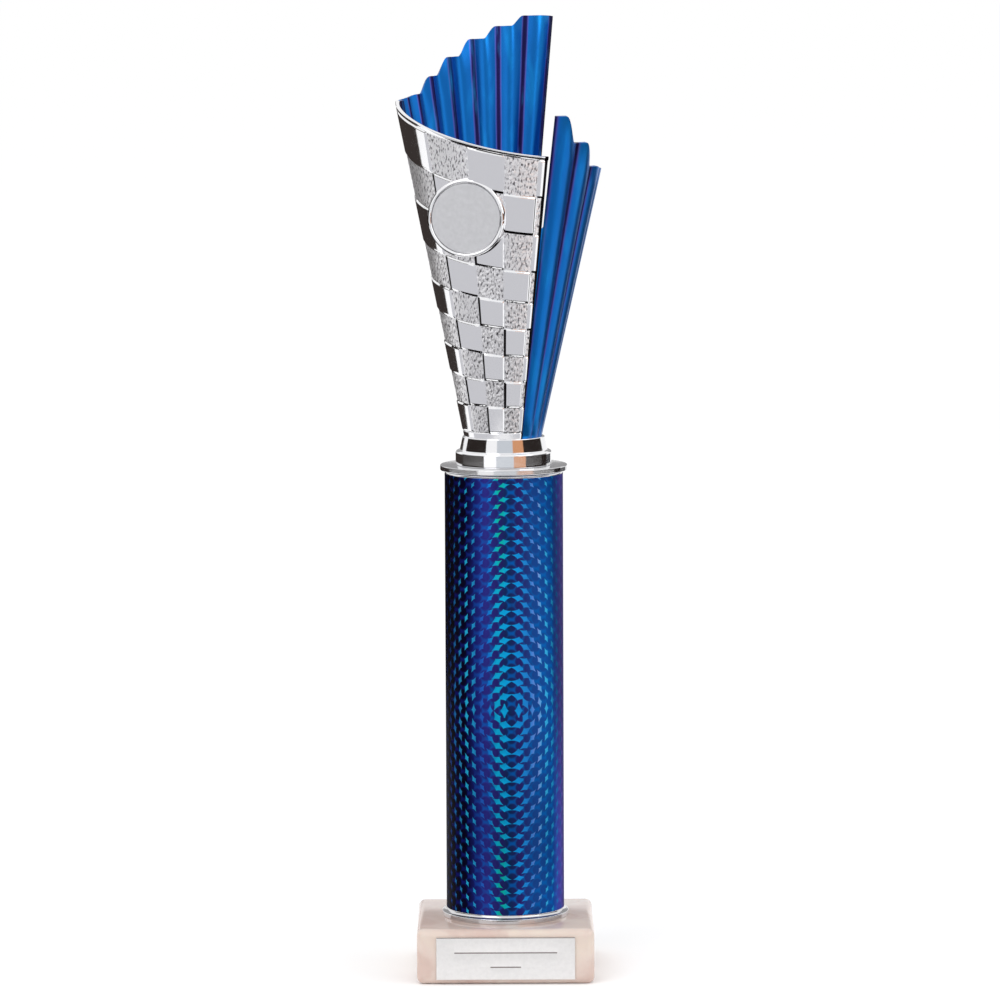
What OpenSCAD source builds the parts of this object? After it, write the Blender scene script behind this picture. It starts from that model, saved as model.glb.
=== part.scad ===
/* [Base] */
// Width and depth of the square marble base
base_w = 64; // [56:1:90]
// Height of the marble base
base_h = 20; // [19:0.5:35]
// Rounding of the base's edges and corners
base_round = 2.5; // [1:0.5:4]
// Width of the engraving plate on the front face
plate_w = 50; // [20:0.2:50.6]
// Height of the engraving plate
plate_h = 15.4; // [8:0.2:15.4]

/* [Column] */
// Outside diameter of the foil-covered column
column_d = 43; // [38:0.5:50]
// Height of the column between its two caps
column_h = 158.9; // [60:0.1:300]
// Diameter of the caps at their flanges
cap_d = 46; // [44:0.5:56]
// Visible height of each cap
cap_h = 3.1; // [2.5:0.1:5]
// Wall of the column tube
tube_wall = 1.6; // [1:0.1:2.4]
// Thickness of the foil wrapped round the tube
foil_t = 0.15; // [0.1:0.05:0.3]

/* [Cup] */
// Radius of the foot's lower band
foot_r = 17.4; // [16:0.2:20]
// Height of the foot, from the top cap to the cup's shells
foot_h = 10.4; // [9.8:0.1:14]
// Outside radius of the front shell at the foot
front_r = 14.4; // [13.6:0.1:15]
// Growth of the front shell's radius with height
front_flare = 0.2009; // [0.15:0.0001:0.24]
// Wall of the front shell
front_wall = 1.6; // [1.2:0.1:2]
// Height of the front rim's plane above the foot, on the cup's axis
rim_rise = 112.5; // [90:0.5:125]
// Slope of the front rim's plane
rim_tilt = 16.5; // [5:0.5:20]
// Diameter of the centre disc
disc_d = 25; // [20:0.5:25]

/* [Fluted shell] */
// Crest radius of the fluted shell at the foot
back_r = 13.87; // [13.8:0.01:14.4]
// Growth of the fluted shell's radius with height
back_flare = 0.2155; // [0.18:0.0001:0.24]
// Wall of the fluted shell
back_wall = 1.4; // [1:0.1:1.4]
// Depth of the flutes at the foot
flute_foot = 0.3; // [0.1:0.1:0.3]
// Depth of the flutes 150 mm above the foot
flute_top = 2.2; // [1:0.1:2.6]
// Height of the tall wing's highest corner above the foot
tall_rise = 150; // [130:1:170]
// Height of the low wing's front corner above the foot
low_rise = 116.7; // [90:0.1:120]

/* [Hidden] */
$fn = 96;

// Heights of the stack, from the underside of the base
column_z = base_h + cap_h;
top_cap_z = column_z + column_h;
foot_z = top_cap_z + cap_h;
cup_z = foot_z + foot_h;

// The M6 rod and its fasteners
rod_r = 3;
rod_hole_r = 3.3;
rod_end_z = 0.8;
nut_af = 10;
nut_h = 5;
cushion_t = 1;
cushion_r = 10;
washer_r = 9;
washer_t = 1.5;
spring_t = 1.6;
spring_r = 5.6;
recess_r = 12.5;
recess_h = 10.5;

// Caps and their spigots inside the tube
spigot_h = 8;
spigot_wall = 2;
tube_r = column_d / 2 - foil_t;
spigot_r = tube_r - tube_wall - 0.05;

// Foot, with its pocket for the column nut and its plug inside the shells
band_r = 15.7;
band_top_r = 14.9;
band_h = 4.8;
pocket_r = 10.5;
pocket_h = 7.4;
plug_r = 12;
plug_h = 7.5;
plug_flare = 0.18;
insert_r = 4.6;
insert_h = 7;

// Engraving plate and its pad
plate_t = 0.6;
pad_t = 0.3;
plate_z = base_h / 2 - 0.45;

// Centre disc: its place, the way it faces, and the boss that carries it
disc_pos = [-13.15, -30.6, cup_z + 80.7];
disc_turn = -12;
disc_t = 0.6;
disc_pad_t = 0.2;
boss_rim = 1.5;
boss_lip = 0.4;
boss_depth = 14;

// Angles round the cup, counted from the front towards the right
seam_a = 28;
edge_a = 157;
left_a = 265;
rim_high_a = 223;
low_flutes = 7;
tall_flutes = 8;
low_pitch = (edge_a - seam_a) / low_flutes;
tall_pitch = (left_a - edge_a) / tall_flutes;

// Rim steps of the fluted shell: each flute of a wing ends a little lower than the last
low_drops = [0, 9.8, 18.8, 20, 27.5, 34, 39.5, 44];
tall_drops = [0, 3.8, 8.4, 14.7, 21.4, 27.6, 28.6, 29.2, 29.6];
flute_samples = 8;
flute_rows = 10;
edge_slant = 0.4;
back_lean = 0.01;

// A ball whose poles lie exactly on its radius
module ball(r) {
    rotate_extrude($fn = 32)
        intersection() {
            circle(r);
            translate([0, -r]) square([r, 2 * r]);
        }
}

// A flat ring, from z up
module ring(r_out, r_in, h, z) {
    translate([0, 0, z])
        difference() {
            cylinder(r = r_out, h = h);
            translate([0, 0, -1]) cylinder(r = r_in, h = h + 2);
        }
}

// A hexagon nut with a plain bore, from z up
module nut(z) {
    translate([0, 0, z])
        difference() {
            cylinder(r = nut_af / 2 / cos(30), h = nut_h, $fn = 6);
            translate([0, 0, -1]) cylinder(r = rod_r, h = nut_h + 2);
        }
}

// Puts its children on the centre disc's axis, with +Z out of the disc's face
module at_disc() {
    translate(disc_pos) rotate([0, 0, disc_turn]) rotate([90, 0, 0]) children();
}

module marble_base() {
    inset = base_w / 2 - base_round;
    color("mistyrose")
        difference() {
            hull()
                for (x = [-inset, inset], y = [-inset, inset], z = [base_round, base_h - base_round])
                    translate([x, y, z]) ball(base_round);
            translate([0, 0, -1]) cylinder(r = recess_r, h = recess_h + 1);
            cylinder(r = rod_hole_r, h = base_h + 1);
        }
}

module cushion_washer() {
    color("saddlebrown") ring(cushion_r, rod_hole_r, cushion_t, recess_h - cushion_t);
}

module base_washer() {
    color("silver") ring(washer_r, rod_hole_r, washer_t, recess_h - cushion_t - washer_t);
}

// A split spring washer, closed flat by the nut
module spring_washer() {
    z = recess_h - cushion_t - washer_t - spring_t;
    color("dimgray")
        difference() {
            ring(spring_r, rod_hole_r, spring_t, z);
            translate([0, -0.4, z - 1]) cube([spring_r + 1, 0.8, spring_t + 2]);
        }
}

module base_nut() {
    color("silver") nut(recess_h - cushion_t - washer_t - spring_t - nut_h);
}

module tie_rod() {
    chamfer = 0.6;
    top = cup_z + insert_h - 1;
    color("silver")
        rotate_extrude()
            polygon([
                [0, rod_end_z], [rod_r - chamfer, rod_end_z], [rod_r, rod_end_z + chamfer],
                [rod_r, top - chamfer], [rod_r - chamfer, top], [0, top]
            ]);
}

module plate_adhesive_pad() {
    color("whitesmoke")
        translate([1 - plate_w / 2, -base_w / 2 - pad_t, plate_z - plate_h / 2 + 1])
            cube([plate_w - 2, pad_t, plate_h - 2]);
}

module engraving_plate() {
    color("gainsboro")
        translate([-plate_w / 2, -base_w / 2 - pad_t - plate_t, plate_z - plate_h / 2])
            cube([plate_w, plate_t, plate_h]);
}

// One cap, flange down: a rounded flange, a hollow throat up to the tube, and a spigot
module column_cap() {
    flange_r = cap_d / 2;
    bead = 0.9;
    throat = cap_h - bead;
    step = flange_r - column_d / 2 - 0.1;
    profile = concat(
        [[rod_hole_r, 0], [flange_r - 0.3, 0], [flange_r, 0.3], [flange_r, bead]],
        [for (t = [15:15:90]) [flange_r - step * sin(t), bead + throat * (1 - cos(t))]],
        [[spigot_r, cap_h], [spigot_r, cap_h + spigot_h - 0.8], [spigot_r - 0.8, cap_h + spigot_h]],
        [[spigot_r - spigot_wall, cap_h + spigot_h], [spigot_r - spigot_wall, 2], [rod_hole_r, 2]]
    );
    rotate_extrude() polygon(profile);
}

module bottom_cap() {
    color("silver") translate([0, 0, base_h]) column_cap();
}

module top_cap() {
    color("silver") translate([0, 0, foot_z]) mirror([0, 0, 1]) column_cap();
}

module column_tube() {
    color("white") ring(tube_r, tube_r - tube_wall, column_h, column_z);
}

module foil_wrap() {
    color("mediumblue") ring(column_d / 2, tube_r, column_h, column_z);
}

module top_washer() {
    color("silver") ring(washer_r, rod_hole_r, washer_t, foot_z);
}

module column_nut() {
    color("silver") nut(foot_z + washer_t);
}

// The foot: two bands with rounded shoulders, a nut pocket below and a plug above
module cup_foot() {
    low_h = foot_h - band_h;
    round = 1.4;
    profile = concat(
        [[pocket_r, 0], [foot_r - 0.3, 0], [foot_r, 0.3]],
        [for (t = [0:15:90]) [foot_r - round * (1 - cos(t)), low_h - round * (1 - sin(t))]],
        [[band_r, low_h + 0.2], [band_top_r, foot_h - 0.3], [band_top_r - 0.3, foot_h]],
        [[plug_r, foot_h], [plug_r + plug_flare * plug_h, foot_h + plug_h]],
        [[insert_r, foot_h + plug_h], [insert_r, foot_h], [rod_hole_r, foot_h]],
        [[rod_hole_r, pocket_h], [pocket_r, pocket_h]]
    );
    color("lightgray") translate([0, 0, foot_z]) rotate_extrude() polygon(profile);
}

module threaded_insert() {
    color("goldenrod") ring(insert_r, rod_r, insert_h, cup_z);
}

// The boss that carries the centre disc, from inside the front shell's wall outwards
module disc_boss() {
    top = rim_rise + 20;
    middle_r = front_r - front_wall / 2;
    difference() {
        at_disc() translate([0, 0, -boss_depth]) cylinder(r = disc_d / 2 + boss_rim, h = boss_depth + boss_lip);
        translate([0, 0, cup_z]) cylinder(r1 = middle_r, r2 = middle_r + front_flare * top, h = top);
    }
}

// The checkered half: a sector of a cone, cut by the sloping rim, with the disc's boss
module cup_front_shell() {
    top = rim_rise + 20;
    grow = front_flare * top;
    color("gainsboro")
        difference() {
            union() {
                translate([0, 0, cup_z])
                    rotate([0, 0, left_a - 90])
                        rotate_extrude(angle = 360 + seam_a - left_a)
                            polygon([
                                [front_r - front_wall, 0], [front_r, 0],
                                [front_r + grow, top], [front_r + grow - front_wall, top]
                            ]);
                disc_boss();
            }
            translate([0, 0, cup_z + rim_rise])
                rotate([0, 0, rim_high_a - 90])
                    rotate([0, -rim_tilt, 0])
                        translate([-90, -90, 0]) cube([180, 180, 90]);
            at_disc() translate([0, 0, -disc_t - disc_pad_t]) cylinder(r = disc_d / 2 + 0.05, h = 5);
        }
}

// Eases from 0 to 1
function ease(t) =
    let (c = max(0, min(1, t)))
    c * c * (3 - 2 * c);

// How far round its wing an angle lies, counted in flutes
function flutes_round(a) = a < edge_a ? (a - seam_a) / low_pitch : (a - edge_a) / tall_pitch;

// Rim height of the low wing: level, then an easy step down before each valley
function low_rim(n) =
    let (k = floor(n))
    low_rise - low_drops[k] - (low_drops[k + 1] - low_drops[k]) * ease((n - k - 0.33) / 0.48);

// Rim height of the tall wing: an easy step down after each valley, then level
function tall_rim(n) =
    let (k = floor(n), from = tall_drops[max(0, k - 1)])
    tall_rise - from - (tall_drops[k] - from) * ease((n - k) / 0.52);

function back_rim(a) = a < edge_a ? low_rim(flutes_round(a)) : tall_rim(flutes_round(a));

// Outside radius: rounded ribs with a valley at every whole flute
function back_radius(a, h) =
    let (n = flutes_round(a), depth = flute_foot + (flute_top - flute_foot) * h / 150)
    back_r + back_flare * h - depth * (1 - sin(180 * (n - floor(n))));

function back_point(a, t, inset) =
    let (h = t * back_rim(a), r = back_radius(a, h) - inset)
    [back_lean * h + r * sin(a), -r * cos(a), cup_z + h];

// The fluted half: one skin from the seam round the back to the left
module cup_back_shell() {
    low_n = low_flutes * flute_samples;
    tall_n = tall_flutes * flute_samples;
    angles = concat(
        [for (i = [0:low_n - 1]) seam_a + i * low_pitch / flute_samples],
        [edge_a - edge_slant],
        [for (i = [0:tall_n]) edge_a + i * tall_pitch / flute_samples]
    );
    cols = len(angles);
    rows = flute_rows + 1;
    side = cols * rows;
    points = [
        for (inset = [0, back_wall], j = [0:flute_rows], a = angles)
            back_point(a, j / flute_rows, inset)
    ];
    outer = [
        for (j = [0:flute_rows - 1], i = [0:cols - 2])
            let (p = j * cols + i)
            each [[p, p + cols, p + 1], [p + 1, p + cols, p + cols + 1]]
    ];
    inner = [for (f = outer) [f[0] + side, f[2] + side, f[1] + side]];
    ends = [
        for (j = [0:flute_rows - 1], e = [0, cols - 1])
            let (p = j * cols + e, q = p + cols, s = p + side, t = q + side)
            each e == 0 ? [[p, s, q], [q, s, t]] : [[p, q, s], [q, t, s]]
    ];
    edges = [
        for (i = [0:cols - 2], j = [0, flute_rows])
            let (p = j * cols + i, q = p + 1, s = p + side, t = q + side)
            each j == 0 ? [[p, q, s], [q, t, s]] : [[p, s, q], [q, s, t]]
    ];
    color("royalblue") polyhedron(points = points, faces = concat(outer, inner, ends, edges));
}

module disc_adhesive_pad() {
    color("whitesmoke")
        at_disc() translate([0, 0, -disc_t - disc_pad_t]) cylinder(r = disc_d / 2 - 0.5, h = disc_pad_t);
}

module centre_disc() {
    color("lightgray") at_disc() translate([0, 0, -disc_t]) cylinder(r = disc_d / 2, h = disc_t);
}

marble_base();
cushion_washer();
base_washer();
spring_washer();
base_nut();
tie_rod();
plate_adhesive_pad();
engraving_plate();
bottom_cap();
column_tube();
foil_wrap();
top_cap();
top_washer();
column_nut();
cup_foot();
threaded_insert();
cup_front_shell();
cup_back_shell();
disc_adhesive_pad();
centre_disc();
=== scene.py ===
import math

import bmesh
import bpy
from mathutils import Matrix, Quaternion, Vector, noise


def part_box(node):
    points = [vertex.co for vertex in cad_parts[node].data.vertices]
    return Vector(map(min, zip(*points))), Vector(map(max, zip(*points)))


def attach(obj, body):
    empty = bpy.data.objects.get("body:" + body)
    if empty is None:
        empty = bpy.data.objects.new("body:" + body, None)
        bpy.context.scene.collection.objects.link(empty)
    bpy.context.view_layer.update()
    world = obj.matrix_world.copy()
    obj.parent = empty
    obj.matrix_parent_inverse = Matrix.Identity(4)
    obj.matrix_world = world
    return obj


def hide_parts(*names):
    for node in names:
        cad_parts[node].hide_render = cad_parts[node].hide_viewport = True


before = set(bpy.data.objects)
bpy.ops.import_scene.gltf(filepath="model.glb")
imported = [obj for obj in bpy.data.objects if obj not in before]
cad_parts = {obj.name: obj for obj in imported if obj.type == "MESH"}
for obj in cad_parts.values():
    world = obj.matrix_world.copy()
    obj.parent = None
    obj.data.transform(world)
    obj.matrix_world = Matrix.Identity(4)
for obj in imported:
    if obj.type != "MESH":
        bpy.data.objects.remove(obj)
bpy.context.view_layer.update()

mm = 0.001
turn = 2 * math.pi


def linear(hexCode):
    # sRGB hex to the linear colour that Blender's sockets take
    channels = [int(hexCode[i:i + 2], 16) / 255 for i in (1, 3, 5)]
    return [c / 12.92 if c <= 0.04045 else ((c + 0.055) / 1.055) ** 2.4 for c in channels] + [1.0]


def setInputs(node, inputs):
    # an input is a plain value, a socket, or a node whose first output in use is meant
    pairs = inputs.items() if isinstance(inputs, dict) else enumerate(inputs)
    for name, value in pairs:
        if isinstance(value, bpy.types.Node):
            value = next(socket for socket in value.outputs if socket.enabled)
        if isinstance(value, bpy.types.NodeSocket):
            node.id_data.links.new(value, node.inputs[name])
        else:
            node.inputs[name].default_value = value


def addNode(tree, kind, inputs=(), operation=None, **settings):
    # adds a node; a kind without "Node" in it is a shader node. Inputs come by name or in Blender's
    # order: MapRange takes value, from min, from max, to min and to max, and Mix takes its factor at
    # 0, and two numbers at 2 and 3 or two colours at 6 and 7
    node = tree.nodes.new(kind if "Node" in kind else "ShaderNode" + kind)
    if operation:
        node.operation = operation
    for name, value in settings.items():
        setattr(node, name, value)
    setInputs(node, inputs)
    return node


def newMaterial(name, **values):
    # a Principled material; values that are the same all over go on the shader's own sockets
    material = bpy.data.materials.new(name)
    material.use_nodes = True
    tree = material.node_tree
    shader = tree.nodes["Principled BSDF"]
    for key, value in values.items():
        socket = shader.inputs[key.replace("_", " ")]
        socket.default_value = linear(value) if isinstance(value, str) else value
    return material, tree, shader


def setStops(node, stops):
    # fills a colour ramp node from (position, hex) pairs
    ramp = node.color_ramp
    while len(ramp.elements) < len(stops):
        ramp.elements.new(1.0)
    for element, (position, hexCode) in zip(ramp.elements, stops):
        element.position = position
        element.color = linear(hexCode)
    return node


def perSize(size):
    # texture scale for features of a size in millimetres, on coordinates in metres
    return 1 / (size * mm)


def addObject(name, data):
    # puts a mesh, lamp or camera in the scene
    piece = bpy.data.objects.new(name, data)
    bpy.context.scene.collection.objects.link(piece)
    return piece


def newMesh(name, points, faces, scale=mm):
    mesh = bpy.data.meshes.new(name)
    mesh.from_pydata([[c * scale for c in p] for p in points], [], faces)
    return mesh


def finishMesh(mesh, material, sharp=35):
    # merges doubles (points within half a micrometre), turns the faces outwards and smooths all
    # but the sharp edges
    work = bmesh.new()
    work.from_mesh(mesh)
    bmesh.ops.remove_doubles(work, verts=work.verts, dist=0.0005 * mm)
    bmesh.ops.recalc_face_normals(work, faces=work.faces)
    work.to_mesh(mesh)
    work.free()
    mesh.materials.append(material)
    mesh.shade_smooth()
    mesh.set_sharp_from_angle(angle=math.radians(sharp))
    return addObject(mesh.name, mesh)


def joinRings(rings):
    # faces between rings of point numbers; a ring on the axis repeats its only point
    faces = []
    for ring, after in zip(rings, rings[1:]):
        for i in range(len(ring)):
            j = (i + 1) % len(ring)
            corners = list(dict.fromkeys([ring[i], ring[j], after[j], after[i]]))
            if len(corners) > 2:
                faces.append(corners)
    return faces


def lathe(name, profile, material, segments=144, sharp=35):
    # turns a closed outline of (radius, height) round Z
    points, rings = [], []
    for radius, height in profile:
        count = segments if radius > 0 else 1
        rings.append([len(points) + i % count for i in range(segments)])
        angles = [turn * i / segments for i in range(count)]
        points += [(radius * math.cos(a), radius * math.sin(a), height) for a in angles]
    return finishMesh(newMesh(name, points, joinRings(rings + rings[:1])), material, sharp)


def arc(centreR, centreZ, radius, start, end, steps=4):
    # points along an arc in the (radius, height) plane, angles in degrees
    angles = [math.radians(start + (end - start) * i / steps) for i in range(steps + 1)]
    return [(centreR + radius * math.cos(a), centreZ + radius * math.sin(a)) for a in angles]


def applyModifiers(piece):
    # keeps the piece's evaluated mesh and drops the modifiers
    graph = bpy.context.evaluated_depsgraph_get()
    mesh = bpy.data.meshes.new_from_object(piece.evaluated_get(graph))
    piece.modifiers.clear()
    piece.data = mesh
    return piece


def standFor(piece, node):
    # the piece rides with the trophy and takes the place of one CAD node
    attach(piece, "root")
    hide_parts(node)


def finishNode(node, material):
    # a CAD node whose shape is right only gets its finish
    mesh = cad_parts[node].data
    mesh.materials.clear()
    mesh.materials.append(material)


def heights(node):
    # a CAD node's lowest and highest point, in millimetres
    low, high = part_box(node)
    return low.z / mm, high.z / mm


def reach(node):
    # how far a CAD node reaches from the axis, in millimetres
    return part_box(node)[1].x / mm


shellLow = heights("cup_front_shell")[0]  # mm, height of the cup's foot above the table

# materials


def makeMarble():
    # polished pink marble: cloudy calcite with hardly any veins, under a wet-looking polish
    material, tree, shader = newMaterial(
        "polishedPinkMarble", IOR=1.5, Subsurface_Weight=0.1,
        Subsurface_Radius=(0.004, 0.0025, 0.002))
    place = addNode(tree, "TexCoord").outputs["Object"]
    clouds = addNode(tree, "TexNoise", {
        "Vector": place, "Scale": perSize(30), "Detail": 5.0, "Roughness": 0.5, "Distortion": 0.5})
    colour = setStops(addNode(tree, "ValToRGB", [clouds]), [
        (0.3, "#C6AAA0"), (0.45, "#D3BCB2"), (0.56, "#DAC8BE"), (0.7, "#E0D2C4")])
    bend = addNode(tree, "TexNoise", {"Vector": place, "Scale": perSize(42), "Detail": 4.0})
    ridge = addNode(tree, "Math", [addNode(tree, "Math", [bend, 0.5], "SUBTRACT")], "ABSOLUTE")
    vein = addNode(tree, "MapRange", [ridge, 0, 0.03, 0.35, 0], interpolation_type="SMOOTHSTEP")
    veined = addNode(tree, "Mix", {0: vein, 6: colour, 7: linear("#C4A79C")}, data_type="RGBA")
    speck = addNode(tree, "TexNoise", {"Vector": place, "Scale": perSize(0.9), "Detail": 2.0})
    gloss = addNode(tree, "MapRange", [speck, 0, 1, 0.06, 0.16])
    setInputs(shader, {"Base Color": veined, "Roughness": gloss})
    return material


def makeSpunMetal(name, colour, roughness, lineSize, depth):
    # turned metal: fine rings round the axis catch the light
    material, tree, shader = newMaterial(name, Base_Color=colour, Metallic=1.0)
    place = addNode(tree, "TexCoord").outputs["Object"]
    flat = addNode(tree, "VectorMath", [place, (1, 1, 0)], "MULTIPLY")
    fromAxis = addNode(tree, "VectorMath", [flat], "LENGTH")
    height = addNode(tree, "SeparateXYZ", [place]).outputs[2]
    across = addNode(tree, "CombineXYZ", [fromAxis, height])
    rings = addNode(tree, "TexNoise", {"Vector": across, "Scale": perSize(lineSize), "Detail": 2.0})
    bump = addNode(tree, "Bump", {"Strength": 0.5, "Distance": depth * mm, "Height": rings})
    gloss = addNode(tree, "MapRange", [rings, 0, 1, roughness * 0.7, roughness * 1.3])
    setInputs(shader, {"Normal": bump, "Roughness": gloss})
    return material


def makeSilverPlastic():
    # vacuum-metallised plastic: mirror-bright, wavy like its moulding, pitted where grained; its pits
    # and shadow lines are painted shade
    material, tree, shader = newMaterial("vacuumMetallisedSilver", Metallic=1.0)
    place = addNode(tree, "TexCoord").outputs["Object"]
    unrolled = addNode(tree, "Attribute", attribute_name="unrolled").outputs["Vector"]
    grain = addNode(tree, "SeparateXYZ", [unrolled]).outputs[2]
    drawn = addNode(tree, "Attribute", attribute_name="paintedShade").outputs["Fac"]
    paintedShade = addNode(tree, "MapRange", [drawn, 0.3, 0.7])
    waves = addNode(tree, "TexNoise", {"Vector": place, "Scale": perSize(9)})
    soft = addNode(tree, "Bump", {"Strength": 0.2, "Distance": 0.1 * mm, "Height": waves})
    # the worm-like grain leans to the right: about 0.7 mm apart, drawn 2.2 times as long
    leaning = addNode(tree, "Mapping", {
        "Vector": unrolled, "Rotation": (0, 0, math.radians(-35)), "Scale": (1, 0.45, 0)})
    pits = addNode(tree, "TexNoise", {
        "Vector": leaning, "Scale": perSize(0.66), "Detail": 1.5, "Roughness": 0.5})
    rough = addNode(tree, "Math", [pits, grain], "MULTIPLY")
    fine = addNode(tree, "Bump", {
        "Strength": 0.7, "Distance": 0.13 * mm, "Height": rough, "Normal": soft})
    # painted shade: the grain's pits are coloured dark grey
    shadedPits = setStops(addNode(tree, "ValToRGB", [pits]), [
        (0.33, "#68666A"), (0.41, "#CFCED1"), (0.49, "#FAF9FB"), (1.0, "#FFFFFF")])
    colour = addNode(tree, "Mix", {0: grain, 6: linear("#F2F2F4"), 7: shadedPits}, data_type="RGBA")
    # painted shadow lines: near-black along edges of the smooth checks, beside the blue half and round
    # the disc holder's lip
    lined = addNode(tree, "Mix", {0: paintedShade, 6: colour, 7: linear("#121012")}, data_type="RGBA")
    gloss = addNode(tree, "MapRange", [grain, 0, 1, 0.08, 0.4])
    setInputs(shader, {"Base Color": lined, "Normal": fine, "Roughness": gloss})
    return material


def makeBlueLacquer(name, stops):
    # metallised plastic under clear blue lacquer, with painted shade running violet and navy into each
    # crease
    material, tree, shader = newMaterial(name, Metallic=0.88)
    place = addNode(tree, "TexCoord").outputs["Object"]
    valley = addNode(tree, "Attribute", attribute_name="valley").outputs["Fac"]
    cloud = addNode(tree, "TexNoise", {"Vector": place, "Scale": perSize(24), "Detail": 3.0})
    # the painted shade in the creases grows darker over the cup's lowest 90 mm, as the creases deepen
    height = addNode(tree, "SeparateXYZ", [place]).outputs[2]
    depth = addNode(tree, "MapRange", [height, shellLow * mm, (shellLow + 90) * mm, 0.74])
    drift = addNode(tree, "Math", [cloud, 0.06, -0.03], "MULTIPLY_ADD")
    shade = addNode(tree, "Math", [valley, depth, drift], "MULTIPLY_ADD")
    colour = setStops(addNode(tree, "ValToRGB", [shade]), stops)
    # long pale streaks, as the metal shows through the lacquer
    streak = addNode(tree, "Mapping", {"Vector": place, "Scale": (1, 1, 0.05)})
    lines = addNode(tree, "TexNoise", {"Vector": streak, "Scale": perSize(4), "Detail": 3.0})
    pale = addNode(tree, "MapRange", [lines, 0.5, 0.75, 0, 0.5])
    mixed = addNode(tree, "Mix", {0: pale, 6: colour, 7: linear("#1288D0")}, data_type="RGBA")
    bump = addNode(tree, "Bump", {"Strength": 0.15, "Distance": 0.05 * mm, "Height": lines})
    gloss = addNode(tree, "MapRange", [cloud, 0, 1, 0.26, 0.38])
    setInputs(shader, {"Base Color": mixed, "Normal": bump, "Roughness": gloss})
    return material


foil = {
    "columns": 21,  # pattern repeats round the column
    "rise": 5.1,  # mm between rows
    "centreSide": 2.5,  # mm from the front to the middle of the pattern, to the right
    "centreHeight": 98.0,  # mm above the table
    "spread": 8,  # mm from the middle within which the glints turn upright
    "glintLong": 2.9,  # mm, half length
    "glintWide": 1.35,
    "glintHollow": 0.72,  # below 1 the sides of a glint curve inwards
    "glintShare": 0.74,  # size of the glints at the sides
    "glintPush": 1.0,  # mm that the middle glints lie further out
    "dotRadius": 2.1,
}

# colours round the column: 0.5 is the front, 0.25 the left side and 0.75 the right
# the ramps hold painted light: painted shade on the left, a painted lavender sheen on the right and the
# brightest painted glints near the front
filmAndPaintedLightColours = [
    (0.08, "#0A1440"), (0.25, "#1C1458"), (0.28, "#141048"), (0.34, "#14185C"), (0.39, "#142070"),
    (0.415, "#183C94"), (0.44, "#1C52B0"), (0.475, "#104E9C"), (0.52, "#0E5CB2"), (0.58, "#0E5EB0"),
    (0.65, "#0C68BC"), (0.675, "#5062BC"), (0.7, "#8A7ED0"), (0.76, "#7A70C4"), (0.86, "#14489A")]
dotAndPaintedLightColours = [
    (0.08, "#0A0E30"), (0.25, "#10061C"), (0.3, "#0A0308"), (0.39, "#0A0514"), (0.42, "#1E2070"),
    (0.45, "#302A80"), (0.49, "#281E62"), (0.51, "#12284E"), (0.54, "#2E1C66"), (0.58, "#1E4690"),
    (0.65, "#1850A0"), (0.7, "#6A62B8"), (0.9, "#123A80")]
paintedGlintColours = [
    (0.08, "#2A60A8"), (0.3, "#183878"), (0.35, "#2A70A8"), (0.375, "#2A8CB8"), (0.39, "#28B8E4"),
    (0.41, "#26A0D8"), (0.43, "#2A58BC"), (0.455, "#1A70D0"), (0.48, "#12B0DC"), (0.52, "#12A4F0"),
    (0.545, "#1C98EC"), (0.57, "#2C84DC"), (0.595, "#7A96E0"), (0.61, "#40B8EC"), (0.64, "#30A8DC"),
    (0.67, "#2088C4"), (0.75, "#5A60B0"), (0.9, "#2A90D0")]


def foilGrid(tree, folded, pitch, shift):
    # one of the pattern's two grids of cells: each cell's glint and dot, as distances from them.
    # Across the column a cell starts a third of its width before its dot
    cells = addNode(tree, "VectorMath", [
        folded, (1 / pitch[0], 1 / pitch[1], 0), (0.33 - shift, 0.5 - shift, 0)], "MULTIPLY_ADD")
    cell = addNode(tree, "VectorMath", [cells], "FLOOR")
    middle = addNode(tree, "VectorMath", [
        cell, pitch, ((0.25 + shift) * pitch[0], shift * pitch[1], 0)], "MULTIPLY_ADD")
    local = addNode(tree, "VectorMath", [folded, middle], "SUBTRACT")
    # the dot lies a quarter of a cell inwards of the glint
    inwards = addNode(tree, "VectorMath", [local, (pitch[0] / 4, 0, 0)], "ADD")
    dot = addNode(tree, "VectorMath", [inwards], "LENGTH")
    side = addNode(tree, "SeparateXYZ", [middle]).outputs[0]
    push = addNode(tree, "MapRange", [side, 2.0, 7.0, foil["glintPush"], -0.2])
    pushed = addNode(tree, "VectorMath", [local, addNode(tree, "CombineXYZ", [push])], "SUBTRACT")
    # a glint lies across the line to it from the pattern's middle, whose rise counts for no more
    # than the spread; 99 mm is past every glint's side
    held = addNode(tree, "VectorMath", [middle, (99, foil["spread"], 0)], "MINIMUM")
    outward = addNode(tree, "VectorMath", [held], "NORMALIZE")
    across = addNode(tree, "VectorMath", [pushed, outward], "DOT_PRODUCT")
    beside = addNode(tree, "VectorMath", [pushed, outward], "CROSS_PRODUCT")
    along = addNode(tree, "VectorMath", [beside], "LENGTH")
    halves = addNode(tree, "VectorMath", [
        addNode(tree, "CombineXYZ", [across, along]),
        (1 / foil["glintWide"], 1 / foil["glintLong"], 0)], "MULTIPLY")
    sides = addNode(tree, "SeparateXYZ", [addNode(tree, "VectorMath", [halves], "ABSOLUTE")]).outputs
    # a four-pointed star with hollow sides, smaller towards the sides of the column
    powers = [addNode(tree, "Math", [sides[k], foil["glintHollow"]], "POWER") for k in (0, 1)]
    share = addNode(tree, "MapRange", [side, 3.0, 9.0, 1.0, foil["glintShare"]])
    sized = addNode(tree, "Math", [addNode(tree, "Math", powers, "ADD"), share], "DIVIDE")
    # a glint across the fold counts as far away
    outside = addNode(tree, "Math", [side, 0.0], "LESS_THAN")
    return addNode(tree, "Math", [outside, 9.0, sized], "MULTIPLY_ADD"), dot


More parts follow.
